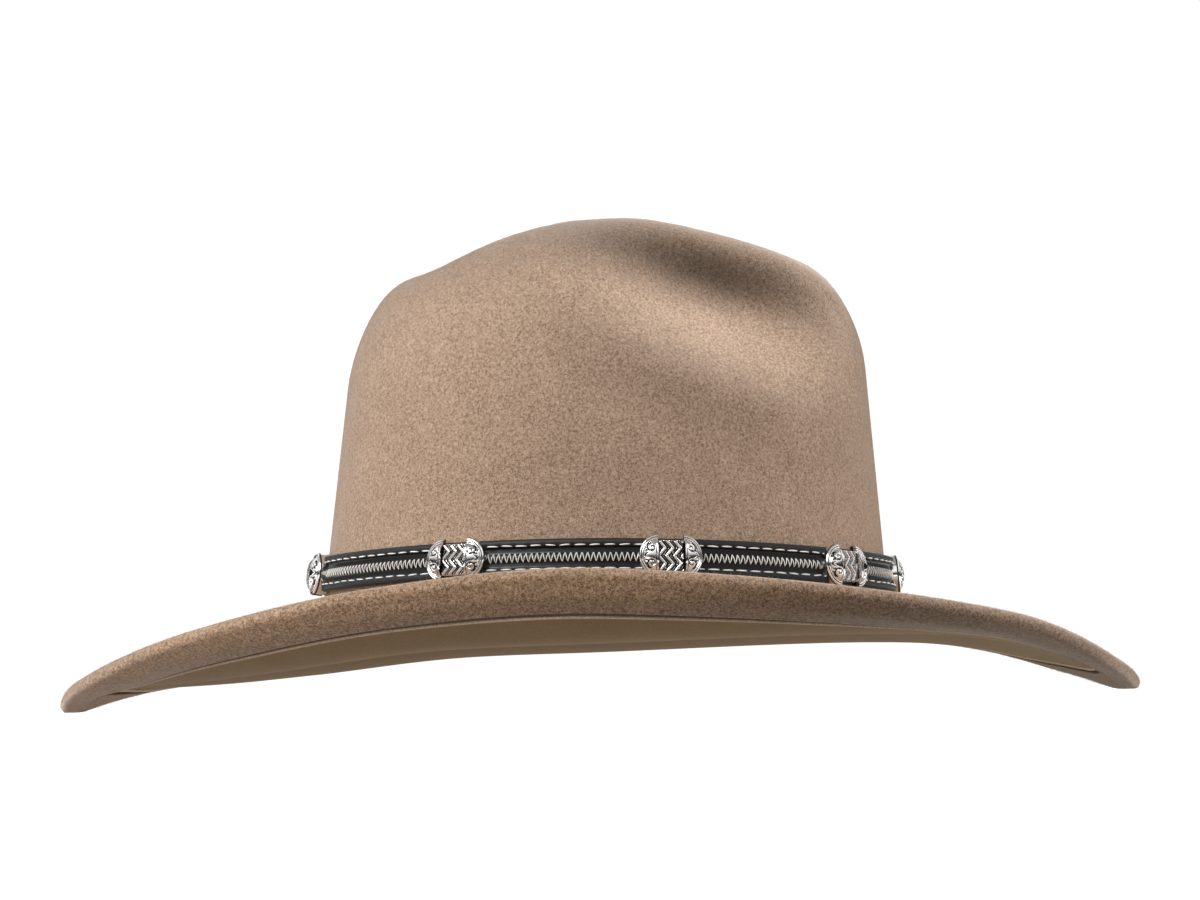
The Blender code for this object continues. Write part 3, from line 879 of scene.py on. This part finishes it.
paint(strap, "channel", np.clip((2.9 * MM - away) / (0.8 * MM), 0, 1))
wrap(strap)
finish_faces(strap)
settle(strap, "hatband")
print("strap:", len(strap.data.polygons), "faces,", STITCHES, "stitches to a row")

# %% [markdown]
# ## Stitches
#
# Two rows of thick waxed thread hold the folded edges. One stitch is modelled: a ball drawn out
# into a short bar whose ends dip into the leather. Each copy of it is laid a little differently.

# %% Stitches
THREAD_HALF, THREAD_LIFT, THREAD_DIP = 0.23 * MM, 3.30 * MM, 0.42 * MM
TURN_SPREAD, LENGTH_SPREAD, PLACE_SPREAD = 0.035, 0.03, 0.05 * MM


def one_stitch():
    deselect()
    bpy.ops.mesh.primitive_uv_sphere_add(segments=8, ring_count=9, radius=1.0)
    made = bpy.context.object
    for vertex in made.data.vertices:
        x, y, z = vertex.co
        width = THREAD_HALF * (1.12 if abs(z) < 0.97 else 1.0)
        dip = abs(z) ** 3 * THREAD_DIP
        vertex.co = (z * STITCH_LENGTH / 2, x * width, y * width * 0.9 - dip)
    return made


dice = np.random.default_rng(11)
pattern = one_stitch()
shape = np.array([vertex.co for vertex in pattern.data.vertices])
faces = [tuple(face.vertices) for face in pattern.data.polygons]
bpy.data.objects.remove(pattern)
points, loops = [], []
for line in STITCH_ROWS:
    for k in range(STITCHES):
        turn, stretch = dice.normal(0, TURN_SPREAD), 1 + dice.normal(0, LENGTH_SPREAD)
        moved = shape.copy()
        moved[:, 0] = shape[:, 0] * stretch + (k + 0.5) * ROUND / STITCHES
        moved[:, 1] = shape[:, 1] + shape[:, 0] * turn + line + dice.normal(0, PLACE_SPREAD)
        moved[:, 2] = shape[:, 2] + THREAD_LIFT
        loops += [tuple(v + len(points) * len(shape) for v in face) for face in faces]
        points.append(moved)
stitches = new_piece("stitches", bpy.data.meshes.new("stitches"))
stitches.data.from_pydata(np.concatenate(points).tolist(), [], loops)
wrap(stitches)
finish_faces(stitches)
settle(stitches)
print("stitches:", len(points))

# %% [markdown]
# ## Zigzag thread
#
# A paler thread zigzags over the core in the channel. It is one long curve with a round
# section. It crosses the core from side to side and dips into the leather at each turn.

# %% Zigzag
ZIG_PITCH, ZIG_REACH, ZIG_HALF = 1.98 * MM, 1.62 * MM, 0.15 * MM
ZIG_POINTS = 10
ZIG_SHARP = 0.97
ZIGS = round(ROUND / ZIG_PITCH)
zig = np.arange(ZIGS * ZIG_POINTS) / ZIG_POINTS
wave = np.sin(2 * math.pi * zig)
sway = np.sign(wave) * np.abs(np.arcsin(wave * ZIG_SHARP) / np.arcsin(ZIG_SHARP))
over = np.abs(sway)
zig_out = (2.62 - 0.62 * over**2 - 0.22 * np.clip(over - 0.85, 0, 1) / 0.15) * MM
places = (zig * ROUND / ZIGS, BAND_WIDTH / 2 + ZIG_REACH * sway, zig_out, np.ones(len(zig)))
path = bpy.data.curves.new("zigzag", "CURVE")
path.dimensions = "3D"
line = path.splines.new("POLY")
line.points.add(len(zig) - 1)
line.points.foreach_set("co", np.stack(places, axis=1).reshape(-1).astype(np.float32))
path.bevel_depth = ZIG_HALF
path.bevel_resolution = 1
activate(new_piece("zigzag_thread", path))
bpy.ops.object.convert(target="MESH")
zigzag = bpy.context.object
wrap(zigzag)
smooth(zigzag)
settle(zigzag)
print("zigzag:", ZIGS, "turns,", len(zigzag.data.polygons), "faces")

# %% [markdown]
# ## Silver slides
#
# Each slide is a small casting: two half-moon caps with a raised rim and a leaf scroll, and
# between them a lower bar folded into upright chevrons. One is modelled flat. A cap starts as a
# grid whose rows run from the rim to the middle of its straight side, like a fan.

# %% Sizes of a slide
SLIDE_DIRECTIONS = (-172, -119.7, -77.8, -36.8, 7, 52, 98, 145)
SLIDE_LENGTH, SLIDE_HEIGHT = 22.2 * MM, 15.2 * MM
BAR_LENGTH, BAR_HEIGHT = 9.2 * MM, 11.3 * MM
SEAT = 3.7 * MM
RIM_TOP, CAP_TOP, BAR_FACE = SEAT + 2.1 * MM, SEAT + 3.9 * MM, SEAT + 1.0 * MM
LIP = SEAT - 2.7 * MM
WALL_FOOT = SEAT - 0.3 * MM
CAP_REACH = (SLIDE_LENGTH - BAR_LENGTH) / 2
FAN_COLUMNS, FAN_ROWS, RIM_ROWS = 72, 46, 14

# Shares of the cap's outline where its dome ends and where its rim turns down
DOME_END, RIM_TURN = 0.76, 0.88

# Leaves along a curl: share of the curl where each starts, its bend in degrees and its length
LEAVES = ((0.04, 24, 1.5), (0.16, 10, 1.7), (0.30, -14, 1.5), (0.44, -30, 1.2))


def scroll_lines():
    """Strokes of one leaf scroll in a half-moon: x from its straight side, y, half-width."""
    strokes = []
    for side in (1, -1):
        turn = np.linspace(0.0, 1.0, 40)
        angle = np.radians(78 - 430 * turn)
        reach = 1.75 * (1 - 0.82 * turn)
        x, y = 2.15 + reach * np.cos(angle), side * (2.75 + reach * np.sin(angle))
        curl = np.stack([x, y, 0.34 - 0.14 * turn], axis=1)
        strokes.append(curl)
        for start, bend, length in LEAVES:
            root = curl[int(start * 39)]
            t = np.linspace(0.0, 1.0, 12)
            lean = np.radians(bend + 62 * t) * side
            step = length / 12
            x = root[0] + np.cumsum(step * np.cos(lean))
            y = root[1] * (1 - 0.06 * t) - np.cumsum(step * np.sin(lean)) * 0.55
            width = 0.30 * np.sin(math.pi * np.clip(t + 0.12, 0, 1)) + 0.06
            strokes.append(np.stack([x, y, width], axis=1))
    t = np.linspace(-1, 1, 16)
    strokes.append(np.stack([3.0 + 1.5 * (1 - t**2), 1.1 * t, 0.30 * (1 - t**2) + 0.05], axis=1))
    return np.concatenate(strokes) * MM


scroll = scroll_lines()
scroll_tree = KDTree(len(scroll))
for k, (x, y, _) in enumerate(scroll):
    scroll_tree.insert((x, y, 0.0), k)
scroll_tree.balance()


def carving(x, y):
    """Height of the leaf scroll, from 0 between the strokes to 1 along them."""
    height = 0.0
    for _, k, distance in scroll_tree.find_n((x, y, 0.0), 3):
        width = scroll[k][2]
        height = max(height, 1.0 - (distance / width) ** 2)
    return max(0.0, height) ** 0.5


print("the scroll has", len(scroll), "points")

# %% One slide, modelled flat
RIBS, FOLDS, BAR_FACES = 3, 4, (96, 48)
RIB_SWAY, RIB_HEIGHT = 0.85, 1.25 * MM


def cap_point(share, angle):
    """A point of the cap at a share of its outline, its height, and how much tarnish it holds."""
    x = CAP_REACH * share * math.cos(angle)
    y = SLIDE_HEIGHT / 2 * share * math.sin(angle)
    if share > DOME_END:
        beads = abs(math.sin((share - DOME_END) / (1 - RIM_TURN) * math.pi))
        down = max(0.0, share - RIM_TURN) / (1 - RIM_TURN)
        height = mix(RIM_TOP, SEAT + 1.5 * MM, down) + 0.5 * MM * (beads**0.6 - 1.0)
        return x, y, height, min(1.0, max(0.0, 0.62 - beads) * 2.2)
    dome = (1 - (share / DOME_END) ** 2.6) ** 0.6
    cut = carving(x, y) if x > 0.9 * MM else 0.0
    seam = max(0.0, 1.0 - abs(x / MM - 0.72) / 0.24)
    height = mix(RIM_TOP - 0.3 * MM, CAP_TOP, dome) - 0.3 * MM * max(cut, seam)
    return x, y, height, max(cut**1.5, seam)


def wall_down(piece, mesh, edges, painted_shade=False):
    """Draws edges of a piece down to the slide's foot as a wall, and leaves edit mode. When the
    last argument is set, the wall is painted fully dark as painted shade.
    """
    pick(piece, mesh, edges)
    bpy.ops.mesh.extrude_region_move()
    mesh = bmesh.from_edit_mesh(piece.data)
    recess = mesh.verts.layers.float["recess"]
    for vertex in mesh.verts:
        if vertex.select:
            vertex.co.z = WALL_FOOT
            vertex[recess] = 1.0 if painted_shade else vertex[recess]
    bmesh.update_edit_mesh(piece.data)
    bpy.ops.object.mode_set(mode="OBJECT")


def make_cap(side):
    """One cap: its carved face, its outer wall and its straight wall towards the bar."""
    rim = np.linspace(1.0, 0.83, RIM_ROWS)
    shares = np.concatenate([rim, np.linspace(0.825, 0.02, FAN_ROWS - RIM_ROWS)])
    angles = np.linspace(-math.pi / 2, math.pi / 2, FAN_COLUMNS + 1)
    faces = [[cap_point(share, angle) for angle in angles] for share in shares]
    skirt = [[(x, y, mix(LIP, z, t), 0.1) for x, y, z, _ in faces[0]] for t in (0.0, 0.5, 0.9)]
    table = np.array(skirt + faces)
    cap = flat_grid("cap", FAN_COLUMNS, len(table) - 1)
    put_points(cap, table[..., :3])
    paint(cap, "recess", table[..., 3])
    mesh = edit(cap, "EDGE")
    straight = [
        edge for edge in mesh.edges
        if edge.is_boundary
        and all(vertex.co.x < 0.3 * MM for vertex in edge.verts)
        and any(vertex.co.z > LIP + 0.1 * MM for vertex in edge.verts)
    ]
    # The straight wall towards the bar is painted fully dark: painted shade
    wall_down(cap, mesh, straight, painted_shade=True)
    for vertex in cap.data.vertices:
        vertex.co.x = side * (vertex.co.x + BAR_LENGTH / 2)
    return cap


def make_bar():
    """The bar between the caps, with upright ribs that swing from side to side."""
    pitch = BAR_LENGTH / (RIBS + 0.4)
    bar = flat_grid("bar", *BAR_FACES)
    tarnish = []
    for vertex in bar.data.vertices:
        x, y = vertex.co.x * (BAR_LENGTH + 0.4 * MM), vertex.co.y * BAR_HEIGHT
        fold = abs(((vertex.co.y + 0.5) * FOLDS) % 2.0 - 1.0)
        shift = (0.5 - fold) * RIB_SWAY * pitch
        place = ((x - shift) / pitch + 0.5) % 1.0
        broad = 1.0 - (abs(place - 0.30) / 0.30) ** 5
        thin = 0.9 * (1.0 - (abs(place - 0.80) / 0.11) ** 2)
        ridge = max(broad, thin, 0.0)
        ridge *= min(1.0, max(0.0, BAR_LENGTH / 2 - abs(x)) / (0.55 * MM))
        edge = min(1.0, (0.5 - abs(vertex.co.y)) * 22)
        vertex.co = (x, y, BAR_FACE + RIB_HEIGHT * ridge * edge**0.5)
        tarnish.append(min(1.0, max(0.0, (0.75 - ridge) / 0.35)) * edge)
    paint(bar, "recess", tarnish)
    mesh = edit(bar, "EDGE")
    wall_down(bar, mesh, [edge for edge in mesh.edges if edge.is_boundary])
    return bar


flat_slide, *caps = make_bar(), make_cap(1), make_cap(-1)
activate(flat_slide)
for cap in caps:
    cap.select_set(True)
bpy.ops.object.join()
finish_faces(flat_slide)
print("a slide has", len(flat_slide.data.polygons), "faces")

# %% [markdown]
# The eight slides are copies, each carried to its own place along the strap, where it follows
# the curve of the crown.

# %% Slides on the band
slides = []
for number, degrees in enumerate(SLIDE_DIRECTIONS, 1):
    slide = new_piece(f"silver_slide_{number}", flat_slide.data.copy())
    place = float(np.interp(math.radians(degrees) % (2 * math.pi), TURNS, LENGTHS))
    wrap(slide, place, BAND_WIDTH / 2)
    activate(slide)
    bpy.ops.object.shade_smooth_by_angle(angle=math.radians(50))
    settle(slide, f"slide_{number}")
    slides.append(slide)
bpy.data.objects.remove(flat_slide)
print(len(slides), "slides")

# %% [markdown]
# ## Leather, thread and silver finishes
#
# Leather has a fine pebbled grain that breaks its gloss, and the folded edges are rubbed
# greyer than the channel. Thread is twisted from two plies. Cast silver is bright on what
# stands up, and black with tarnish in the cuts; the caps' straight walls towards the bar are
# painted black as painted shade.

# %% Band materials
leather, tree, shader = finish_for("black_leather", {"Roughness": 0.42, "Specular IOR Level": 0.35})
grain = node(tree, "ShaderNodeTexVoronoi", {"Scale": 1500.0}, feature="DISTANCE_TO_EDGE")
tree.links.new(node(tree, "ShaderNodeTexCoord").outputs["Object"], grain.inputs["Vector"])
rubbed = noise(tree, 900.0, 4.0, 0.6)
toned = times(tree, rubbed, math_node(tree, "SUBTRACT", 1.0, stored(tree, "channel")))
black = blend(tree, toned, (0.002, 0.002, 0.002), (0.024, 0.026, 0.028))
tree.links.new(black, shader.inputs["Base Color"])
tree.links.new(plus(tree, 0.34, times(tree, toned, 0.45)), shader.inputs["Roughness"])
height = plus(tree, grain.outputs["Distance"], times(tree, rubbed, 0.35))
relief(tree, shader, height, 0.35, 0.12 * MM)
strap.data.materials.append(leather)


def thread_finish(name, dark, light):
    made, tree, shader = finish_for(name, {"Roughness": 0.75})
    ply = noise(tree, 2600.0, 2.0)
    tree.links.new(blend(tree, ply, dark, light), shader.inputs["Base Color"])
    relief(tree, shader, ply, 0.5, 0.1 * MM)
    return made


waxed = thread_finish("waxed_thread", (0.86, 0.84, 0.79), (1.0, 1.0, 0.97))
stitches.data.materials.append(waxed)
pale = thread_finish("zigzag_thread", (0.80, 0.77, 0.70), (1.0, 0.99, 0.94))
zigzag.data.materials.append(pale)

silver, tree, shader = finish_for("cast_silver", {"Roughness": 0.16, "Metallic": 1.0})
patch = noise(tree, 1400.0, 3.0)
dark = node(tree, "ShaderNodeMapRange", {"From Min": 0.25, "From Max": 0.85})
dark.interpolation_type = "SMOOTHSTEP"
tree.links.new(plus(tree, stored(tree, "recess"), times(tree, patch, 0.15)), dark.inputs["Value"])
metal = blend(tree, dark.outputs[0], (0.86, 0.85, 0.83), (0.02, 0.018, 0.017))
tree.links.new(metal, shader.inputs["Base Color"])
tree.links.new(plus(tree, 0.13, times(tree, dark.outputs[0], 0.3)), shader.inputs["Roughness"])
relief(tree, shader, patch, 0.12, 0.1 * MM)
for slide in slides:
    slide.data.materials.clear()
    slide.data.materials.append(silver)
print("band finishes ready")

# %% [markdown]
# ## Studio
#
# The floor is plain and pale, and glows a little, so that it stays white. The hat is lit like a
# product photograph: soft light from above, from the left and in front, and lower light from
# both sides, which the silver doesn't mirror. The surround is white to the camera, a soft
# gradient to the felt, and a bright band over a dark one to the silver. The floor gives back no
# light to the hat, because the gradient's lower half stands for it.

# %% Floor, surround and lamps
WHITE = (1.0, 1.0, 1.0, 1.0)
FLOOR_SIZE, FLOOR_DEPTH, FLOOR_GLOW = 40.0, -0.3 * MM, 0.85

# Height, from 0 straight below to 1 straight above, and brightness there
LIGHTING = (
    (0.0, (0.50, 0.46, 0.42)), (0.25, 0.34), (0.42, 0.15), (0.50, 0.12), (0.62, 0.14),
    (0.80, 0.20), (1.0, (0.26, 0.26, 0.27)),
)
MIRRORED = (
    (0.0, 0.5), (0.44, 0.30), (0.49, 0.01), (0.595, 0.01), (0.66, 1.05), (0.84, 1.1),
    (0.90, 0.3), (1.0, (0.35, 0.35, 0.36)),
)
# Name, where it comes from, strength, spread in degrees, and whether silver mirrors it
LAMPS = (
    ("key_light", (-0.8, -1.0, 0.95), 2.75, 26, True),
    ("left_light", (-1.6, -0.25, 0.08), 1.3, 50, False),
    ("right_light", (1.6, 0.25, 0.45), 2.6, 36, False),
)

deselect()
bpy.ops.mesh.primitive_plane_add(size=FLOOR_SIZE, location=(0, 0, FLOOR_DEPTH))
floor = bpy.context.object
floor.name = "floor"
matt = {"Base Color": (0.93, 0.93, 0.93, 1.0), "Roughness": 0.9, "Specular IOR Level": 0.0}
glow = {"Emission Color": WHITE, "Emission Strength": FLOOR_GLOW}
floor.data.materials.append(finish_for("pale_floor", {**matt, **glow})[0])
floor.visible_diffuse = False

scene.world = scene.world or bpy.data.worlds.new("surround")
scene.world.use_nodes = True
tree = scene.world.node_tree
axes = node(tree, "ShaderNodeSeparateXYZ")
tree.links.new(node(tree, "ShaderNodeTexCoord").outputs["Generated"], axes.inputs[0])
halved = node(tree, "ShaderNodeMath", {1: 0.5, 2: 0.5}, operation="MULTIPLY_ADD")
tree.links.new(axes.outputs["Z"], halved.inputs[0])


def gradient(steps):
    """A background that changes with height."""
    ramp = node(tree, "ShaderNodeValToRGB")
    tree.links.new(halved.outputs[0], ramp.inputs["Fac"])
    elements = ramp.color_ramp.elements
    for element, (position, _) in zip(elements, (steps[0], steps[-1])):
        element.position = position
    for position, _ in steps[1:-1]:
        elements.new(position)
    for element, (_, level) in zip(elements, steps):
        element.color = (*np.broadcast_to(level, 3), 1.0)
    made = node(tree, "ShaderNodeBackground")
    tree.links.new(ramp.outputs["Color"], made.inputs["Color"])
    return made.outputs[0]


def choose(share, first, second):
    """The first surround, or the second one for one kind of ray."""
    made = node(tree, "ShaderNodeMixShader")
    for socket, source in zip(made.inputs, (share, first, second)):
        tree.links.new(source, socket)
    return made.outputs[0]


ray = node(tree, "ShaderNodeLightPath")
white = tree.nodes["Background"]
white.inputs["Color"].default_value = WHITE
white.inputs["Strength"].default_value = 1.05
unseen = choose(ray.outputs["Is Glossy Ray"], gradient(LIGHTING), gradient(MIRRORED))
shown = choose(ray.outputs["Is Camera Ray"], unseen, white.outputs[0])
tree.links.new(shown, tree.nodes["World Output"].inputs["Surface"])

for name, source, strength, spread, mirrored in LAMPS:
    bpy.ops.object.light_add(type="SUN", location=source)
    lamp = bpy.context.object
    lamp.name = name
    lamp.data.energy = strength
    lamp.data.angle = math.radians(spread)
    lamp.rotation_euler = (-Vector(source)).to_track_quat("-Z", "Y").to_euler()
    lamp.visible_glossy = mirrored
scene.view_settings.view_transform = "Standard"
print("floor, surround and", len(LAMPS), "lamps")
